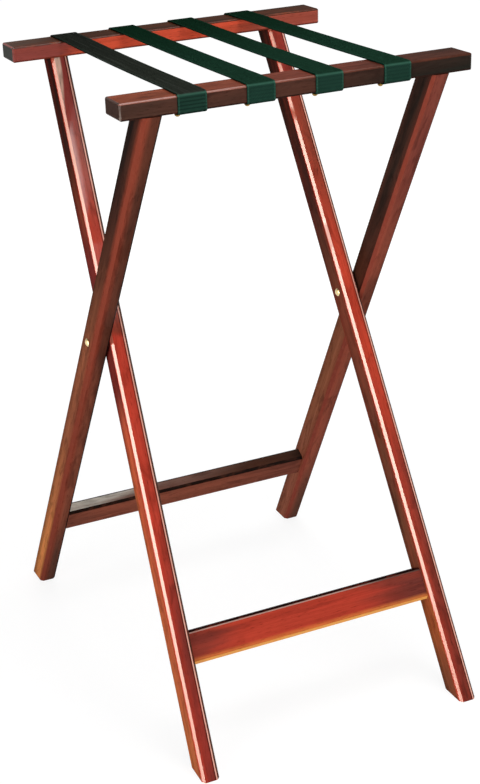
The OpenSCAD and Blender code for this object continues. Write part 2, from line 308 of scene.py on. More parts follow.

# each board's tones: face and flank go from one tone to the next over the marks (metres along the board),
# and these tones hold painted light and shade as well as the stain; a corner has its own tone and gloss (the
# near black corners are painted shade along the edges), shade is how much painted shade darkens flank and
# face towards their far edges, gloss is that of face and flank. Some boards also have a butt (end grain), a
# leadEnd (dull end of the leading corner), a softHighlight (painted soft highlight beside that corner, with
# its share at foot and head), patches (part, tone, marks, share: painted shadow, shade or floor light), a rim
# (painted floor light at the far edge of the flank near the foot), a polish and a paintedSheen (painted pale
# sheen) near the head, a worn (painted highlight line: tone, gloss at the head, where it fades), a
# bridge (painted highlight on a stretch of the leading corner), a low edge (painted floor light) and a line on
# the upper corner
boards = {
    "front_rail": {
        "face": ("483229", "4a3027", "23231e"), "marks": (-0.20, -0.06, -0.02, 0.12),
        "flank": ("80422e", "6a3529", "34221b"), "flankMarks": (-0.16, 0.0, 0.0, 0.18),
        "corners": {
            "Lead": ("7c4434", 0.55), "Trail": ("2a1812", 0.05), "Crest": ("26140e", 0.05),
            "Heel": ("2a1812", 0.05)},
        "gloss": (0.06, 0.05), "shade": (0.0, 0.0), "butt": "402c25", "leadEnd": ("3a221a", -0.10, 0.14),
        "glow": "8c4632", "glowShare": (0.10, 0.18), "reach": 0.0022, "shift": (0.0, 0.0, 0.0)},
    # back rail: the bright orange middle of its face is painted warm light
    "back_rail": {
        "face": ("84403c", "cc4e36", "a24e40"), "marks": (-0.15, -0.10, 0.08, 0.14),
        "flank": ("4c4038", "2e2016", "36241a"), "flankMarks": (-0.20, -0.12, 0.0, 0.15),
        "corners": {
            "Lead": ("4c2a20", 0.15), "Trail": ("6c2c20", 0.05), "Crest": ("1c120e", 0.05),
            "Heel": ("2a1812", 0.05)},
        "gloss": (0.05, 0.04), "shade": (0.0, 0.0), "butt": "4a4a46", "mottle": 0.10,
        "glow": "d8602c", "glowShare": (0.12, 0.05), "reach": 0.0022, "shift": (2.9, 0.3, 0.2)},
    # outer legs: the flank's orange towards the foot is painted floor light, its near black head painted shade
    "outer_leg_left": {
        "face": ("5c3a2e", "8c4c38", "4c2c22"), "marks": (-0.46, -0.38, -0.10, -0.02),
        "flank": ("ec9452", "ae6444", "1c1815"), "flankMarks": (-0.45, -0.15, -0.12, 0.25),
        "corners": {"Lead": ("803a2a", 0.06), **outerCorners},
        "gloss": (0.05, 0.03), "shade": (0.5, 0.4), "softHighlight": ("943e2c", 0.8, 0.8),
        "glow": "94503a", "reach": 0.0034, "shift": (3.1, 0.5, 0.1)},
    "outer_leg_right": {
        "face": ("583a2e", "964c3a", "7e3f35"), "marks": (-0.46, -0.30, 0.0, 0.25),
        "flank": ("b46a50", "b06a4a", "292520"), "flankMarks": (-0.45, -0.20, -0.15, 0.17),
        "corners": {"Lead": ("843c2e", 0.06), **outerCorners},
        "gloss": (0.05, 0.03), "shade": (0.4, 0.3), "softHighlight": ("924232", 0.6, 0.25),
        # painted shadow of the inner leg where the legs cross
        "patches": (
            ("flank", "1a1612", (-0.03, 0.02, 0.12, 0.22), 0.75),
            ("face", "402820", (-0.03, 0.0, 0.02, 0.06), 0.5)),
        "glow": "9c5640", "reach": 0.0034, "shift": (4.3, 0.7, 0.6)},
    # inner legs: the flank's orange towards the foot is painted floor light, the dark head painted shade; the pale
    # head of this face is a painted reflection
    "inner_leg_left": {
        "face": ("742f28", "b23e2e", "985246"), "marks": (-0.40, -0.20, 0.06, 0.26),
        "flank": ("d87c4c", "dc6440", "341e18"), "flankMarks": (-0.50, -0.20, -0.02, 0.24),
        "corners": innerCorners,
        "gloss": (0.10, 0.03), "shade": (0.6, 0.15), "softHighlight": ("c03a2a", 0.5, 0.0), "rim": "c07a3c",
        # painted shadow of the outer leg just above the pivot, painted shade near the crossing and below the rail
        "patches": (
            ("face", "6c3c2c", (-0.004, 0.006, 0.05, 0.11), 0.8),
            ("flank", "5a2026", (-0.13, -0.06, 0.08, 0.18), 0.85),
            ("face", "602a30", (0.23, 0.29, 0.5, 0.6), 0.6),
            ("flank", "0e0f0b", (0.26, 0.34, 0.5, 0.6), 0.8)),
        # the paintedSheen and the worn are painted highlights
        "polish": (0.06, 0.24), "paintedSheen": "f2dcc4", "worn": ("e0a896", 0.5, 0.02, 0.30),
        "glow": "c83c2c", "reach": 0.0034, "shift": (5.9, 0.2, 0.8)},
    "inner_leg_right": {
        "face": ("6a3028", "c24430", "8c4030"), "marks": (-0.36, -0.08, -0.02, 0.20),
        "flank": ("7c5238", "824a36", "2b2925"), "flankMarks": (-0.45, -0.20, -0.02, 0.16),
        "corners": innerCorners,
        "gloss": (0.10, 0.03), "shade": (0.5, 0.15), "softHighlight": ("c03a2a", 0.4, 0.1),
        # painted floor light on the flank at the foot, painted shade near the head
        "patches": (
            ("flank", "c06a36", (-0.51, -0.43, -0.395, -0.375), 0.7),
            ("face", "561820", (0.22, 0.31, 0.5, 0.6), 0.7),
            ("flank", "1a1812", (0.07, 0.24, 0.5, 0.6), 0.75)),
        # the bridge and the worn are painted highlights
        "bridge": ("f0b8a8", 0.048, 0.055, 0.090, 0.098), "worn": ("e0a896", 0.45, 0.17, 0.32),
        "glow": "d04a34", "reach": 0.0034, "shift": (7.3, 0.9, 0.4)},
    # the pale grey at the left end of the top is a painted reflection
    "rear_stretcher": {
        "face": ("ccc8bc", "72544a", "2a221c"), "marks": (-0.15, -0.05, -0.02, 0.13),
        "flank": ("864a39", "94503c", "864838"), "flankMarks": (-0.18, -0.12, 0.05, 0.17),
        "corners": {
            "Lead": ("84402e", 0.05), "Trail": ("2a1812", 0.05), "Crest": ("1a100c", 0.05),
            "Heel": ("1a100c", 0.05)},
        "gloss": (0.06, 0.05), "shade": (0.0, 0.0),
        "glow": "864a36", "reach": 0.0034, "shift": (8.8, 0.1, 0.7)},
    # front stretcher: its pale orange lower corners and low edge are painted floor light
    "front_stretcher": {
        "face": ("1c0f0b", "1c0f0b", "1c0f0b"), "marks": (-0.17, -0.05, 0.05, 0.17),
        "flank": ("7a332a", "ac3b2b", "60302a"), "flankMarks": (-0.152, -0.085, 0.04, 0.138),
        "corners": {
            "Lead": ("dc9a50", 0.08), "Trail": ("c07038", 0.05), "Crest": ("140a08", 0.03),
            "Heel": ("140a08", 0.03)},
        "gloss": (0.05, 0.06), "shade": (0.0, 0.0), "mottle": 0.16, "low": "d27a3a",
        "line": ("c0968a", 0.02, 0.14),
        "glow": "c84a32", "glowShare": (0.04, 0.22), "reach": 0.0034, "shift": (9.6, 0.6, 0.3)},
}

# what the boards have in common: two values are where a ramp starts and ends, four add its values there,
# a Share is those values alone, and edgeShadeMarks are a rise and a fall. Ramps run along a board in metres,
# over its face (0 at the far edge, 1 at the leading one), up its flank (0 to 1), over a corner (0 to 1) or
# away from a corner in metres
finish = {
    # dark tone of the grain, pores and mottle, and of the painted shade
    "darkStainAndShade": "1a0a07",
    "sway": 0.05,                               # how far the figure moves a board's marks
    "faceShade": (0.50, 0.08),
    "flankShade": (0.50, 0.95),
    "rimMarks": (-0.26, -0.10),
    "lowEdge": (0.24, 0.08, 0.0, 0.8),
    "softHighlightMarks": (0.06, 0.24),
    "sheenStart": (0.26, 0.345, 0.84, 0.46),    # where over the face the painted sheen starts, by the place along
    "sheenSpread": (0.0, 0.14, 0.0, 0.65),
    "sheenMarks": (0.22, 0.32),
    "fibre": 0.32,
    "glowShare": (0.22, 0.22),
    "mottle": 0.38,
    "pores": 0.45,
    "leadEnd": 0.9,
    "lineSlope": (0.50, 0.66),
    "lineShare": (0.75, 0.15),
    "polishSpread": (0.45, 0.85),
    "polish": 0.9,
    # wornSide, wornLine, edgeShadeMarks and edgeShade place the painted highlight line and its painted dark lines
    "wornSide": (0.45, 0.40),
    "wornLine": (0.0010, 0.0018, 0.85, 0.0),
    "edgeShadeMarks": (0.0014, 0.0020, 0.0024, 0.0034),
    "edgeShade": 0.7,
    "flush": (0.76, 0.92),
    "footFade": (-0.52, -0.22, 0.55, 1.0),
    "rub": 0.15,
    "tipGloss": 0.5,
    "scuffGloss": -0.03,
    "rough": 0.30,
    "smudgeRough": 0.10,
    "scuffRough": 0.10,
    "coatRough": 0.07,
    "coatIndex": 1.5,
    "bump": {"strength": 0.10, "distance": 0.0003},
}


def boardLines(name):
    # a board's own axes as rows (along, wide, thick) and its middle, for the grain to follow
    tilt = np.radians(stand["tilt"]) * (1 if name.startswith(("outer", "rear", "front_rail")) else -1)
    lean = np.array([[1, 0, 0], [0, np.cos(tilt), -np.sin(tilt)], [0, np.sin(tilt), np.cos(tilt)]])
    pivot = np.array([0.0, 0.0, stand["pivot"]])
    if name.endswith("rail"):
        side = -1 if name.startswith("front") else 1
        middle = np.array([0.0, side * stand["railMiddle"], stand["height"] - stand["railHeight"] / 2])
        return np.eye(3), middle, stand["railLength"], stand["railWidth"], stand["railHeight"]
    if name.endswith("stretcher"):
        middle = pivot + lean @ np.array([0.0, 0.0, -stand["boardDrop"]])
        turned = np.stack([lean[:, 0], lean[:, 2], -lean[:, 1]])
        return turned, middle, stand["endless"], stand["boardWidth"], stand["boardThick"]
    side = 1 if name.endswith("right") else -1
    out = stand["outerLeg"] if name.startswith("outer") else stand["innerLeg"]
    splay = np.radians(stand["splay"]) * -side
    turn = np.array([[np.cos(splay), 0, np.sin(splay)], [0, 1, 0], [-np.sin(splay), 0, np.cos(splay)]])
    axes = lean @ turn
    middle = pivot + lean @ np.array([side * out, 0.0, 0.0])
    turned = np.stack([axes[:, 2], axes[:, 1], -axes[:, 0]])
    return turned, middle, stand["endless"], stand["legWidth"], stand["legThick"]


def lengthwise(tree, along, tones, marks):
    # three tones met one after the other along a board
    first = mixTone(tree, ramp(tree, along, *marks[:2]), tone(tones[0]), tone(tones[1]))
    return mixTone(tree, ramp(tree, along, *marks[2:]), first, tone(tones[2]))


def stainSides(tree, look, ease, along):
    # face and flank, with painted shade darkening them towards their far edges
    darkStainAndShade = tone(finish["darkStainAndShade"])
    face = lengthwise(tree, along, look["face"], look["marks"])
    shaded = ramp(tree, ease["Across"], *finish["faceShade"], 0.0, look["shade"][1])
    face = mixTone(tree, shaded, face, darkStainAndShade)
    flank = lengthwise(tree, along, look["flank"], look["flankMarks"])
    # rim: painted floor light at the far edge of the flank near the foot, going over into painted shade higher up
    rim = tone(look.get("rim", finish["darkStainAndShade"]))
    rim = mixTone(tree, ramp(tree, along, *finish["rimMarks"]), rim, darkStainAndShade)
    shaded = ramp(tree, ease["Upper"], *finish["flankShade"], 0.0, look["shade"][0])
    flank = mixTone(tree, shaded, flank, rim)
    return mixTone(tree, ease["Side"], face, flank)


def stainPatches(tree, look, ease, along, straight, stain):
    onFace = less(tree, ease["Side"])
    if "low" in look:
        # painted floor light, orange towards the lower edge
        stain = mixTone(tree, ramp(tree, ease["Upper"], *finish["lowEdge"]), stain, tone(look["low"]))
    # painted soft highlight beside the leading corner
    if "softHighlight" in look:
        colour, *shares = look["softHighlight"]
        here = times(tree, ease["Soft Highlight"], ramp(tree, along, *finish["softHighlightMarks"], *shares))
        stain = mixTone(tree, here, stain, tone(colour))
    for part, colour, marks, share in look.get("patches", ()):
        # a stretch of another tone on the face or on the flank: painted shadow, shade or floor light
        here = times(tree, between(tree, straight, marks, share), ease["Side"] if part == "flank" else onFace)
        stain = mixTone(tree, here, stain, tone(colour))
    if "paintedSheen" in look:
        # painted pale sheen below the rail, wider towards the head
        start = ramp(tree, straight, *finish["sheenStart"])
        here = ramp(tree, calc(tree, "SUBTRACT", ease["Across"], start), *finish["sheenSpread"])
        here = times(tree, here, ramp(tree, straight, *finish["sheenMarks"]), onFace)
        stain = mixTone(tree, here, stain, tone(look["paintedSheen"]))
    return stain


def stainGrain(tree, look, ease, grain, stain):
    darkStainAndShade = tone(finish["darkStainAndShade"])
    stain = mixTone(tree, grain["Fibre"], mixTone(tree, finish["fibre"], stain, darkStainAndShade), stain)
    glow = ramp(tree, ease["Side"], 0.0, 1.0, *look.get("glowShare", finish["glowShare"]))
    stain = mixTone(tree, times(tree, grain["Figure"], glow), stain, tone(look["glow"]))
    if "butt" in look:
        stain = mixTone(tree, ease["Butt"], stain, tone(look["butt"]))
    stain = mixTone(tree, times(tree, grain["Mottle"], look.get("mottle", finish["mottle"])), stain, darkStainAndShade)
    return mixTone(tree, times(tree, grain["Pores"], finish["pores"]), stain, darkStainAndShade)


def stainCorners(tree, look, ease, along, straight, stain):
    # gives the stain and the gloss
    gloss = ramp(tree, ease["Side"], 0.0, 1.0, *look["gloss"])
    for corner, (colour, shine) in look["corners"].items():
        stain = mixTone(tree, ease[corner], stain, tone(colour))
        gloss = calc(tree, "MULTIPLY_ADD", calc(tree, "SUBTRACT", shine, gloss), ease[corner], gloss)
    if "bridge" in look:
        # painted highlight on a stretch of the leading corner
        colour, *marks = look["bridge"]
        stain = mixTone(tree, times(tree, between(tree, straight, marks), ease["Lead"]), stain, tone(colour))
    if "leadEnd" in look:
        # the leading corner goes dark and dull towards one end
        colour, *marks = look["leadEnd"]
        dim = times(tree, ease["Lead"], ramp(tree, along, *marks, 0.0, finish["leadEnd"]))
        stain = mixTone(tree, dim, stain, tone(colour))
        gloss = times(tree, gloss, less(tree, dim))
    if "line" in look:
        # a pale line where the upper corner meets the front
        colour, *marks = look["line"]
        pale = times(tree, ramp(tree, ease["Slope"], *finish["lineSlope"]), ease["Crest"])
        pale = times(tree, pale, ramp(tree, along, *marks, *finish["lineShare"]))
        stain = mixTone(tree, pale, stain, tone(colour))
    if "polish" in look:
        # varnish built up beside the leading corner near the head
        built = times(tree, ramp(tree, along, *look["polish"]), ramp(tree, ease["Across"], *finish["polishSpread"]))
        built = times(tree, built, less(tree, ease["Side"]), finish["polish"])
        gloss = calc(tree, "MAXIMUM", gloss, built)
    return stain, gloss


def legHighlightLines(tree, look, ease, along, stain, gloss):
    # a painted highlight line beside the trailing corner, with painted shade in dark lines next to it
    colour, headGloss, *marks = look["worn"]
    beside = times(
        tree, ramp(tree, ease["Across"], *finish["wornSide"]), ramp(tree, ease["Upper"], *finish["wornSide"]),
        less(tree, ease["Edge"]))
    edgeShade = between(tree, ease["Inset"], finish["edgeShadeMarks"], finish["edgeShade"])
    stain = mixTone(tree, times(tree, beside, edgeShade), stain, tone(finish["darkStainAndShade"]))
    line = ramp(tree, ease["Inset"], *finish["wornLine"])
    stain = mixTone(tree, times(tree, beside, line), stain, tone(colour))
    # the leading corner keeps its gloss only next to the face, taking the painted soft highlight's tone next to the
    # flank, and less of the gloss towards the foot and the head
    flush = times(tree, ease["Lead"], ramp(tree, ease["Slope"], *finish["flush"]))
    stain = mixTone(tree, flush, stain, tone(look["softHighlight"][0]))
    fade = times(tree, ramp(tree, along, *finish["footFade"]), ramp(tree, along, *marks, 1.0, headGloss))
    return stain, times(tree, gloss, less(tree, flush), fade)


def makeBoard(name, look):
    axes, middle, length, width, thick = boardLines(name)
    material, tree, shader = newMaterial(name + "Stain")
    place = addNode(tree, "TexCoord").outputs["Object"]
    turned = Matrix(axes.tolist()).to_euler("XYZ")
    values = {"Vector": place, "Rotation": turned, "Location": tuple((-axes @ middle).tolist())}
    local = addNode(tree, "Mapping", values).outputs["Vector"]
    grain = useGroup(tree, grainGroup, {"Vector": local, "Shift": look["shift"]})
    ease = useGroup(tree, easeGroup, {
        "Vector": local, "Half Length": length / 2, "Half Width": width / 2, "Half Thick": thick / 2,
        "Reach": look["reach"]})
    handled = useGroup(tree, handledGroup, {"Vector": local})
    straight = addNode(tree, "SeparateXYZ", {0: local}).outputs["X"]
    along = calc(tree, "MULTIPLY_ADD", calc(tree, "SUBTRACT", grain["Figure"], 0.5), finish["sway"], straight)
    stain = stainSides(tree, look, ease, along)
    stain = stainPatches(tree, look, ease, along, straight, stain)
    stain = stainGrain(tree, look, ease, grain, stain)
    stain, gloss = stainCorners(tree, look, ease, along, straight, stain)
    if "worn" in look:
        stain, gloss = legHighlightLines(tree, look, ease, along, stain, gloss)
    stain = mixTone(tree, times(tree, ease["Rub"], finish["rub"]), stain, tone(look["glow"]))
    gloss = calc(tree, "MULTIPLY_ADD", ease["Tip"], finish["tipGloss"], gloss)
    gloss = calc(tree, "MULTIPLY_ADD", handled["Scuff"], finish["scuffGloss"], gloss, clamp=True)
    rough = calc(tree, "MULTIPLY_ADD", handled["Smudge"], finish["smudgeRough"], finish["rough"])
    rough = calc(tree, "MULTIPLY_ADD", handled["Scuff"], finish["scuffRough"], rough)
    fill(tree, shader, {
        "Base Color": stain, "Roughness": rough, "Coat Weight": gloss,
        "Normal": bumped(tree, grain["Height"], finish["bump"]),
        "Specular IOR Level": 0.0, "Coat Roughness": finish["coatRough"], "Coat IOR": finish["coatIndex"]})
    return material


def dress(name, material):
    piece = nodes[name]
    if not piece.material_slots:
        piece.data.materials.append(material)
    for slot in piece.material_slots:
        slot.material = material


for name, look in boards.items():
    dress(name, makeBoard(name, look))
print("boards: %d stained" % len(boards))


# metal: brass of the pivots and tacks, plated washers
metalWear = {
    "slow": {"stretch": (1.0, 1.0, 1.0), "detail": 4.0, "rough": 0.6, "distort": 0.5, "mask": (0.42, 0.70)},
    "fine": {"stretch": (3.0, 14.0, 14.0), "detail": 3.0, "rough": 0.6},
    "share": 0.16,            # of each noise in the roughness
    "bump": {"strength": 0.06, "distance": 0.0002},
}


def makeMetalWear(look):
    # tarnish in slow patches and fine turning marks
    tree, source, sink = newGroup(
        "handledMetal", {"Vector": "Vector", "Size": "Float"}, floats("Tarnish", "Rough", "Height"))
    scaled = addNode(tree, "VectorMath", {0: source["Vector"], 3: source["Size"]}, operation="SCALE").outputs[0]
    slow = noise(tree, scaled, look["slow"])
    fine = noise(tree, scaled, look["fine"])
    fill(tree, sink, {
        "Tarnish": ramp(tree, slow, *look["slow"]["mask"]),
        "Rough": calc(tree, "MULTIPLY_ADD", fine, look["share"], times(tree, slow, look["share"])),
        "Height": fine,
    })
    return tree


metalGroup = makeMetalWear(metalWear)
metals = {
    "pivotBrass": {"bright": "f4dfa8", "dull": "a07c3c", "share": 0.45, "rough": 0.18, "size": 260.0},
    "tackBrass": {"bright": "b08c48", "dull": "4a3418", "share": 0.75, "rough": 0.16, "size": 340.0},
    "washerPlate": {"bright": "c8c8c2", "dull": "7c7a74", "share": 0.40, "rough": 0.14, "size": 300.0},
}


def makeMetal(name, look):
    material, tree, shader = newMaterial(name)
    place = addNode(tree, "TexCoord").outputs["Object"]
    wear = useGroup(tree, metalGroup, {"Vector": place, "Size": look["size"]})
    share = times(tree, wear["Tarnish"], look["share"])
    fill(tree, shader, {
        "Base Color": mixTone(tree, share, tone(look["bright"]), tone(look["dull"])),
        "Roughness": calc(tree, "ADD", wear["Rough"], look["rough"]),
        "Normal": bumped(tree, wear["Height"], metalWear["bump"]), "Metallic": 1.0})
    return material


finishes = {name: makeMetal(name, look) for name, look in metals.items()}
for side in ("left", "right"):
    dress("pivot_post_" + side, finishes["pivotBrass"])
    dress("pivot_screw_" + side, finishes["pivotBrass"])
    dress("pivot_washer_" + side, finishes["washerPlate"])
dress("front_rail_tacks", finishes["tackBrass"])
dress("back_rail_tacks", finishes["tackBrass"])

# bare beech dowels inside the joints
dowels = {
    "deep": "a8824e", "clear": "d8b88a", "fleck": "7a5426", "fleckShare": 0.5, "rough": (0.55, 0.70),
    "shift": (2.0, 2.0, 2.0), "bump": {"strength": 0.2, "distance": 0.0003},
}


def makeDowel(look):
    material, tree, shader = newMaterial("bareBeech")
    place = addNode(tree, "TexCoord").outputs["Object"]
    grain = useGroup(tree, grainGroup, {"Vector": place, "Shift": look["shift"]})
    stain = mixTone(tree, grain["Fibre"], tone(look["deep"]), tone(look["clear"]))
    stain = mixTone(tree, times(tree, grain["Pores"], look["fleckShare"]), stain, tone(look["fleck"]))
    fill(tree, shader, {
        "Base Color": stain,
        "Roughness": ramp(tree, grain["Figure"], 0.0, 1.0, *look["rough"]),
        "Normal": bumped(tree, grain["Height"], look["bump"])})
    return material


beech = makeDowel(dowels)
for name in ("front_rail_dowels", "back_rail_dowels", "rear_stretcher_dowels", "front_stretcher_dowels"):
    dress(name, beech)
print("metal and dowels: dressed")


# webbing straps, in metres
webbing = {
    "width": 0.033,
    "thick": 0.0016,
    "middles": (-0.13025, -0.05075, 0.02875, 0.10825),
    "reach": 0.1981,          # middle of the cloth on a rail's outer face
    "inner": 0.156,           # a rail's inner face, where the sag starts
    "top": 0.7881,
    "under": 0.7669,
    "tail": 0.171,
    "round": 0.0036,
    "sag": (0.0012, 0.0007, 0.0010, 0.0006),
    "sagDepth": 0.001,        # only the run this close to the top sags
    "near": (0.0022, 0.0010, 0.0018, 0.0050),   # how far each strap sits off its middle at the front rail
    "far": (0.0015, -0.0008, 0.0, 0.0),         # and at the back rail
    "trim": {"strap": 0, "edge": -0.13531, "below": 0.768},   # strap 1's back tail clears the inner leg
    "half": 0.24329,          # half the length along the cloth
    "wrap": 0.0455,           # from an end to the fold over the rail
    "yarn": 0.00115,
    "pick": 0.0015,
    "gap": 0.0025,            # between points along the path
    "bendPoints": 9,
    "facePoints": 37,
    "edgePoints": 7,
    "cord": {"rise": 0.10, "inset": 0.0022, "spread": 0.0009},   # rise as a share of half the thickness
    "faces": (0.97, 0.90),    # lower and upper face, as shares of half the thickness
}


def roundedPath(points, look):
    # straight runs joined by arcs; returns places and left-hand normals along the path
    radius = look["round"]
    corners = np.array(points, float)
    ways = np.diff(corners, axis=0)
    ways /= np.linalg.norm(ways, axis=1)[:, None]
    starts = np.vstack([corners[:1], corners[1:-1] + ways[1:] * radius])
    ends = np.vstack([corners[1:-1] - ways[:-1] * radius, corners[-1:]])
    pieces, normals = [], []
    for i in range(len(ways)):
        count = max(int(np.ceil(np.linalg.norm(ends[i] - starts[i]) / look["gap"])), 2)
        share = np.linspace(0.0, 1.0, count + 1)[:, None]
        normal = np.array([-ways[i, 1], ways[i, 0]])
        pieces.append(starts[i] + share * (ends[i] - starts[i]))
        normals.append(np.repeat(normal[None], count + 1, 0))
        if i + 1 < len(ways):
            turn = np.linspace(0.0, np.pi / 2, look["bendPoints"])[1:-1, None]
            centre = ends[i] + ways[i + 1] * radius
            pieces.append(centre + radius * (np.sin(turn) * ways[i] - np.cos(turn) * ways[i + 1]))
            after = np.array([-ways[i + 1, 1], ways[i + 1, 0]])
            normals.append(np.cos(turn) * normal + np.sin(turn) * after)
    return np.vstack(pieces), np.vstack(normals)


def clothSection(look):
    # flat oval: two faces, the upper one with a raised edge cord, joined by half rounds
    half, depth, cord = look["width"] / 2, look["thick"] / 2, look["cord"]
    across = np.linspace(-1.0, 1.0, look["facePoints"]) * (half - depth)
    bead = cord["rise"] * depth * np.exp(-((np.abs(across) - (half - cord["inset"])) / cord["spread"]) ** 2)
    turn = np.linspace(-np.pi / 2, np.pi / 2, look["edgePoints"])[1:-1]
    right = np.stack([half - depth + depth * np.cos(turn), depth * np.sin(turn)], 1)
    lower = np.stack([across, np.full_like(across, -depth * look["faces"][0])], 1)
    upper = np.stack([across[::-1], depth * look["faces"][1] + bead[::-1]], 1)
    left = np.stack([-(half - depth) - depth * np.cos(turn), -depth * np.sin(turn)], 1)
    return np.vstack([lower, right, upper, left])


def strapMesh(number, look):
    # the section carried along the path: x from the section, y and z from the path plus its normal
    reach, top, under, tail = look["reach"], look["top"], look["under"], look["tail"]
    corners = [(-tail, under), (-reach, under), (-reach, top), (reach, top), (reach, under), (tail, under)]
    path, normal = roundedPath(corners, look)
    normal = -normal if normal[len(normal) // 2, 1] < 0 else normal
    step = np.linalg.norm(np.diff(path, axis=0), axis=1)
    travel = np.concatenate([[0.0], np.cumsum(step)])
    span = np.clip(1 - (path[:, 0] / look["inner"]) ** 2, 0, 1) * (path[:, 1] > top - look["sagDepth"])
    path[:, 1] -= look["sag"][number] * span
    section = clothSection(look)
    share = np.clip((path[:, 0] + reach) / (2 * reach), 0, 1)
    middle = look["middles"][number] + look["near"][number] * (1 - share) + look["far"][number] * share
    across = np.repeat(section[None, :, 0], len(path), 0)
    if number == look["trim"]["strap"]:
        cut = (path[:, 0] > 0) & (path[:, 1] < look["trim"]["below"])
        low = look["trim"]["edge"] - middle[:, None]
        half = look["width"] / 2
        narrow = low + (section[None, :, 0] + half) * (half - low) / look["width"]
        across = np.where(cut[:, None], narrow, across)
    lift = section[None, :, 1]
    place = np.stack([
        middle[:, None] + across,
        path[:, :1] + normal[:, :1] * lift,
        path[:, 1:] + normal[:, 1:] * lift], 2)
    rows, ring = across.shape
    index = np.arange(rows * ring).reshape(rows, ring)
    after = np.roll(index, -1, 1)
    quads = np.stack([index[:-1], after[:-1], after[1:], index[1:]], 2).reshape(-1, 4)
    faces = quads.tolist() + [index[0, ::-1].tolist(), index[-1].tolist()]
    mesh = bpy.data.meshes.new("webbing%d" % (number + 1))
    mesh.from_pydata(place.reshape(-1, 3).tolist(), [], faces)
    uv = np.stack([across, np.repeat(travel[:, None], ring, 1)], 2).reshape(-1, 2)
    corner = np.empty(len(mesh.loops), int)
    mesh.loops.foreach_get("vertex_index", corner)
    layer = mesh.uv_layers.new(name="cloth")
    layer.data.foreach_set("uv", uv[corner].astype(np.float32).ravel())
    mesh.polygons.foreach_set("use_smooth", np.ones(len(mesh.polygons), bool))
    mesh.update()
    return mesh, float(travel[-1])


# how the webbing is woven; its noises are stretched across and along the cloth
weaving = {
    "wobble": {"stretch": (700.0, 60.0, 1.0), "detail": 2.0, "rough": 0.5, "share": 0.7},
    "fray": {"stretch": (1500.0, 420.0, 1.0), "detail": 3.0, "rough": 0.7, "mask": (0.55, 0.80), "rise": 0.25},
    "streak": {"stretch": (330.0, 7.0, 1.0), "detail": 3.0, "rough": 0.6, "mask": (0.48, 0.66)},
    "powers": (0.6, 0.5),     # how full a yarn is along and across
    "cord": (0.0002, 0.0006, 0.0016, 0.0024),
    "dots": {"pitch": 0.0032, "mask": (0.1, 0.7), "rise": 0.4},
    "rib": {"pitch": 0.0038, "mask": (-0.2, 0.9)},
}


def makeWeave(look):
    # warp yarns side by side, each passing over and under the picks in turn; edge cord and stitch dots from u,
    # long streaks between the warps, and ribs across
    tree, source, sink = newGroup(
        "webbingWeave", {"Vector": "Vector", **floats("Yarn", "Pick", "Half Width")},
        floats("Crown", "Height", "Lint", "Edge", "Dots", "Streak", "Rib"))
    parts = addNode(tree, "SeparateXYZ", {0: source["Vector"]}).outputs
    wobble, fray, streak = (noise(tree, source["Vector"], look[key]) for key in ("wobble", "fray", "streak"))
    column = calc(tree, "DIVIDE", parts["X"], source["Yarn"])
    row = calc(tree, "DIVIDE", parts["Y"], source["Pick"])
    row = calc(tree, "MULTIPLY_ADD", wobble, look["wobble"]["share"], row)
    turn = times(tree, calc(tree, "FLOORED_MODULO", calc(tree, "FLOOR", column), 2.0), 0.5)
    over = calc(tree, "ABSOLUTE", calc(tree, "SINE", times(tree, calc(tree, "ADD", row, turn), np.pi)))
    body = calc(tree, "ABSOLUTE", calc(tree, "SINE", times(tree, column, np.pi)))
    crown = times(
        tree, calc(tree, "POWER", over, look["powers"][0]), calc(tree, "POWER", body, look["powers"][1]))
    side = calc(tree, "SUBTRACT", source["Half Width"], calc(tree, "ABSOLUTE", parts["X"]))
    cord = between(tree, side, look["cord"])
    pulse = calc(tree, "SINE", times(tree, parts["Y"], 2 * np.pi / look["dots"]["pitch"]))
    dots = times(tree, cord, ramp(tree, pulse, *look["dots"]["mask"]))
    rib = calc(tree, "SINE", calc(tree, "MULTIPLY_ADD", parts["Y"], 2 * np.pi / look["rib"]["pitch"], wobble))
    raised = calc(tree, "MULTIPLY_ADD", dots, look["dots"]["rise"], crown)
    fill(tree, sink, {
        "Crown": crown,
        "Height": calc(tree, "MULTIPLY_ADD", fray, look["fray"]["rise"], raised),
        "Lint": ramp(tree, fray, *look["fray"]["mask"]),
        "Edge": cord,
        "Dots": dots,
        "Streak": ramp(tree, streak, *look["streak"]["mask"]),
        "Rib": ramp(tree, rib, *look["rib"]["mask"]),
    })
    return tree


weaveGroup = makeWeave(weaving)
# near and far are the run's tone at its two ends, wrap its tone round the rails
cloths = {
    "greenWebbing": {
        "pit": "040c07", "near": "1b382a", "far": "0d2618", "wrap": "27493d", "cord": "4a7c68", "lint": "2c5244",
        "streak": 0.12, "rib": 0.15},
    "charcoalWebbing": {
        "pit": "050605", "near": "2c302a", "far": "222521", "wrap": "27493d", "cord": "4a7c68", "lint": "40443e",
        "streak": 0.55, "rib": 0.40},
}
# what both cloths have in common; bends are in metres from the fold over a rail
clothLook = {
    "run": (0.08, 0.44),
    "wrapped": (-0.001, 0.001),
    # the fold gets a painted highlight along the bend over each rail
    "fold": (-0.0016, 0.0, 0.0004, 0.0018),
    "foldShare": 0.25,
    "hidden": (0.0175, 0.0205),                 # the tail under the rail, darkened there as painted shade
    "hiddenShare": 0.75,
    "trim": (0.08, 0.03),                       # share of the cord's tone: what the wrap adds, and all over
    "lint": 0.20,
    "rough": (0.85, 0.62),
    "bump": {"strength": 0.55, "distance": 0.0004},
    "sheen": {"Sheen Weight": 0.004, "Sheen Roughness": 0.4, "Sheen Tint": tone("6aa08c")},
}


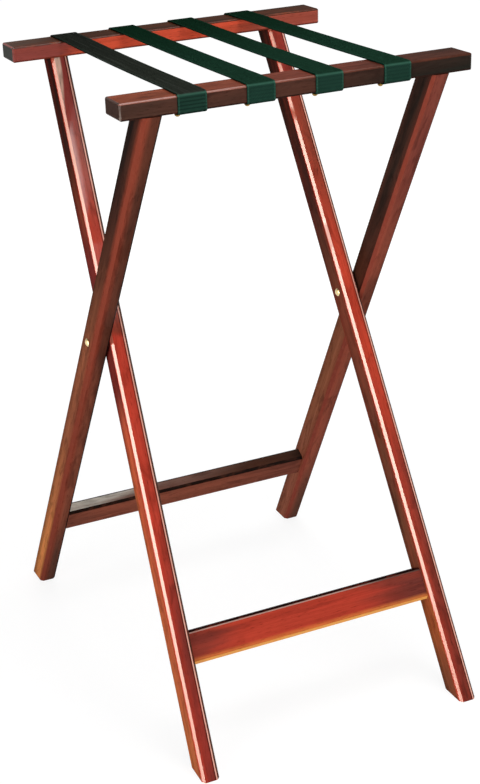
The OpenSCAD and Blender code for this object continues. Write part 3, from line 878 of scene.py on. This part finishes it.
def makeCloth(name, look):
    material, tree, shader = newMaterial(name)
    place = addNode(tree, "UVMap", uv_map="cloth").outputs["UV"]
    weave = useGroup(tree, weaveGroup, {
        "Vector": place, "Yarn": webbing["yarn"], "Pick": webbing["pick"], "Half Width": webbing["width"] / 2})
    travel = addNode(tree, "SeparateXYZ", {0: place}).outputs["Y"]
    away = calc(tree, "ABSOLUTE", calc(tree, "SUBTRACT", travel, webbing["half"]))
    bend = webbing["half"] - webbing["wrap"]
    wrapped = ramp(tree, away, *(bend + mark for mark in clothLook["wrapped"]))
    # painted highlight along the fold over each rail
    fold = between(tree, away, [bend + mark for mark in clothLook["fold"]], clothLook["foldShare"])
    # painted shade on the tail under the rail
    hidden = ramp(tree, away, *(bend + mark for mark in clothLook["hidden"]), 0.0, clothLook["hiddenShare"])
    run = mixTone(tree, ramp(tree, travel, *clothLook["run"]), tone(look["near"]), tone(look["far"]))
    run = mixTone(tree, times(tree, weave["Streak"], look["streak"]), run, tone(look["lint"]))
    clothColour = mixTone(tree, wrapped, run, tone(look["wrap"]))
    clothColour = mixTone(tree, times(tree, weave["Rib"], wrapped, look["rib"]), clothColour, tone(look["pit"]))
    clothColour = mixTone(tree, weave["Crown"], tone(look["pit"]), clothColour)
    trim = calc(tree, "MULTIPLY_ADD", wrapped, *clothLook["trim"])
    for mark in (times(tree, weave["Edge"], trim), times(tree, weave["Dots"], trim), fold):
        clothColour = mixTone(tree, mark, clothColour, tone(look["cord"]))
    clothColour = mixTone(tree, hidden, clothColour, tone(look["pit"]))
    clothColour = mixTone(tree, times(tree, weave["Lint"], clothLook["lint"]), clothColour, tone(look["lint"]))
    fill(tree, shader, {
        "Base Color": clothColour,
        "Roughness": ramp(tree, weave["Crown"], 0.0, 1.0, *clothLook["rough"]),
        "Normal": bumped(tree, weave["Height"], clothLook["bump"]),
        "Specular IOR Level": 0.0, **clothLook["sheen"]})
    return material


fabrics = {name: makeCloth(name, look) for name, look in cloths.items()}
for number in range(len(webbing["middles"])):
    mesh, length = strapMesh(number, webbing)
    strap = bpy.data.objects.new("webbing%d" % (number + 1), mesh)
    bpy.context.scene.collection.objects.link(strap)
    mesh.materials.append(fabrics["charcoalWebbing" if number == 0 else "greenWebbing"])
    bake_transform(strap)
    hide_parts("strap_%d" % (number + 1))
print("straps: %d of %.0f mm" % (number + 1, length * 1000))


# floor, world and lamps
studio = {
    "edge": 9.0,
    "white": (1.0, 1.0, 1.0, 1.0),
    "floor": (0.70, 0.70, 0.70, 1.0),
    "floorRough": 0.9,
    "lit": (0.16, 0.16, 0.16, 1.0),             # the part of the seen floor that takes light and shadow
    "halo": (0.5, 1.6, 0.88, 1.0),              # its own white by the distance from the stand
    "backdrop": (0.10, 0.55, 1.0, 0.12),        # mirrored white by the height of the direction
    "least": 0.07,
}


def makeFloor(look):
    # white to the camera and in reflections, with the object's shadow; a plain pale floor for the rest
    edge = look["edge"]
    ground = bpy.data.meshes.new("paleFloor")
    ground.from_pydata([(-edge, -edge, 0), (edge, -edge, 0), (edge, edge, 0), (-edge, edge, 0)], [], [(0, 1, 2, 3)])
    floor = bpy.data.objects.new("paleFloor", ground)
    bpy.context.scene.collection.objects.link(floor)
    material, tree, shader = newMaterial("paleFloor")
    path = addNode(tree, "LightPath").outputs
    seen = calc(tree, "MAXIMUM", path["Is Glossy Ray"], path["Is Transmission Ray"])
    seen = calc(tree, "MAXIMUM", path["Is Camera Ray"], seen)
    fill(tree, shader, {
        "Base Color": look["floor"], "Roughness": look["floorRough"], "Specular IOR Level": 0.0})
    # the shadow shows round the stand, where the floor's own white is held back a little
    place = addNode(tree, "TexCoord").outputs["Object"]
    radius = addNode(tree, "VectorMath", {0: place}, operation="LENGTH").outputs["Value"]
    lit = addNode(tree, "BsdfDiffuse", {"Color": look["lit"]})
    glow = addNode(tree, "Emission", {"Color": look["white"], "Strength": ramp(tree, radius, *look["halo"])})
    both = addNode(tree, "AddShader", {0: lit.outputs[0], 1: glow.outputs[0]})
    mix = addNode(tree, "MixShader", {0: seen, 1: shader.outputs["BSDF"], 2: both.outputs[0]})
    fill(tree, tree.get_output_node("ALL"), {"Surface": mix.outputs[0]})
    ground.materials.append(material)


def makeWorld(look):
    # white backdrop low down where it is seen, dim above
    world = bpy.data.worlds.new("studio")
    bpy.context.scene.world = world
    world.use_nodes = True
    tree = world.node_tree
    tree.nodes.clear()
    path = addNode(tree, "LightPath").outputs
    seen = calc(tree, "MAXIMUM", path["Is Camera Ray"], path["Is Transmission Ray"])
    way = addNode(tree, "SeparateXYZ", {0: addNode(tree, "TexCoord").outputs["Generated"]}).outputs["Z"]
    mirror = times(tree, path["Is Glossy Ray"], ramp(tree, way, *look["backdrop"]))
    level = calc(tree, "MAXIMUM", seen, calc(tree, "MAXIMUM", mirror, look["least"]))
    back = addNode(tree, "Background", {"Color": look["white"], "Strength": level})
    addNode(tree, "OutputWorld", {"Surface": back.outputs[0]})


# the fills give soft light without a mirror image, the strips and the panel only their image in the varnish
# and the brass
lamps = {
    "overhead": {"at": (0.35, -0.25, 2.4), "to": (0.0, 0.0, 0.4), "size": (1.3, 1.3), "power": 40.0},
    "frontFill": {
        "at": (0.2, -2.4, 0.4), "to": (0.0, 0.0, 0.4), "size": (1.2, 0.8), "power": 30.0, "mirrored": False},
    "sideFill": {
        "at": (-1.9, -0.7, 0.9), "to": (0.0, 0.0, 0.4), "size": (1.2, 1.2), "power": 22.0, "mirrored": False},
    "rearFill": {
        "at": (0.5, 2.4, 0.9), "to": (0.0, 0.0, 0.4), "size": (1.2, 1.2), "power": 16.0, "mirrored": False},
    "nearStrip": {
        "at": (-1.8, -0.45, 0.79), "to": (-0.16, -0.05, 0.37), "size": (0.14, 1.9), "lean": 29.2, "power": 15.0,
        "tint": "fff0e0", "soft": False},
    "farStrip": {
        "at": (-1.8, -0.94, 0.89), "to": (0.16, -0.05, 0.37), "size": (0.14, 2.1), "lean": 30.9, "power": 17.0,
        "tint": "fff0e0", "soft": False},
    "headPanel": {
        "at": (0.75, -1.8, 2.45), "to": (-0.15, 0.12, 0.66), "size": (0.5, 0.9), "power": 14.0, "soft": False},
}


def makeLamp(name, look):
    data = bpy.data.lights.new(name, "AREA")
    data.shape = "RECTANGLE"
    data.size, data.size_y = look["size"]
    data.energy = look["power"]
    data.color = tone(look.get("tint", "ffffff"))[:3]
    lamp = bpy.data.objects.new(name, data)
    bpy.context.scene.collection.objects.link(lamp)
    lamp.location = look["at"]
    lamp.visible_camera = False
    lamp.visible_glossy = look.get("mirrored", True)
    lamp.visible_diffuse = look.get("soft", True)
    aim = (Vector(look["to"]) - Vector(look["at"])).to_track_quat("-Z", "Y").to_matrix()
    lamp.rotation_euler = (aim @ Matrix.Rotation(np.radians(look.get("lean", 0.0)), 3, "Z")).to_euler()


makeFloor(studio)
makeWorld(studio)
for name, look in lamps.items():
    makeLamp(name, look)
bpy.context.scene.view_settings.view_transform = "Standard"
print("stage: floor, world and %d lamps" % len(lamps))
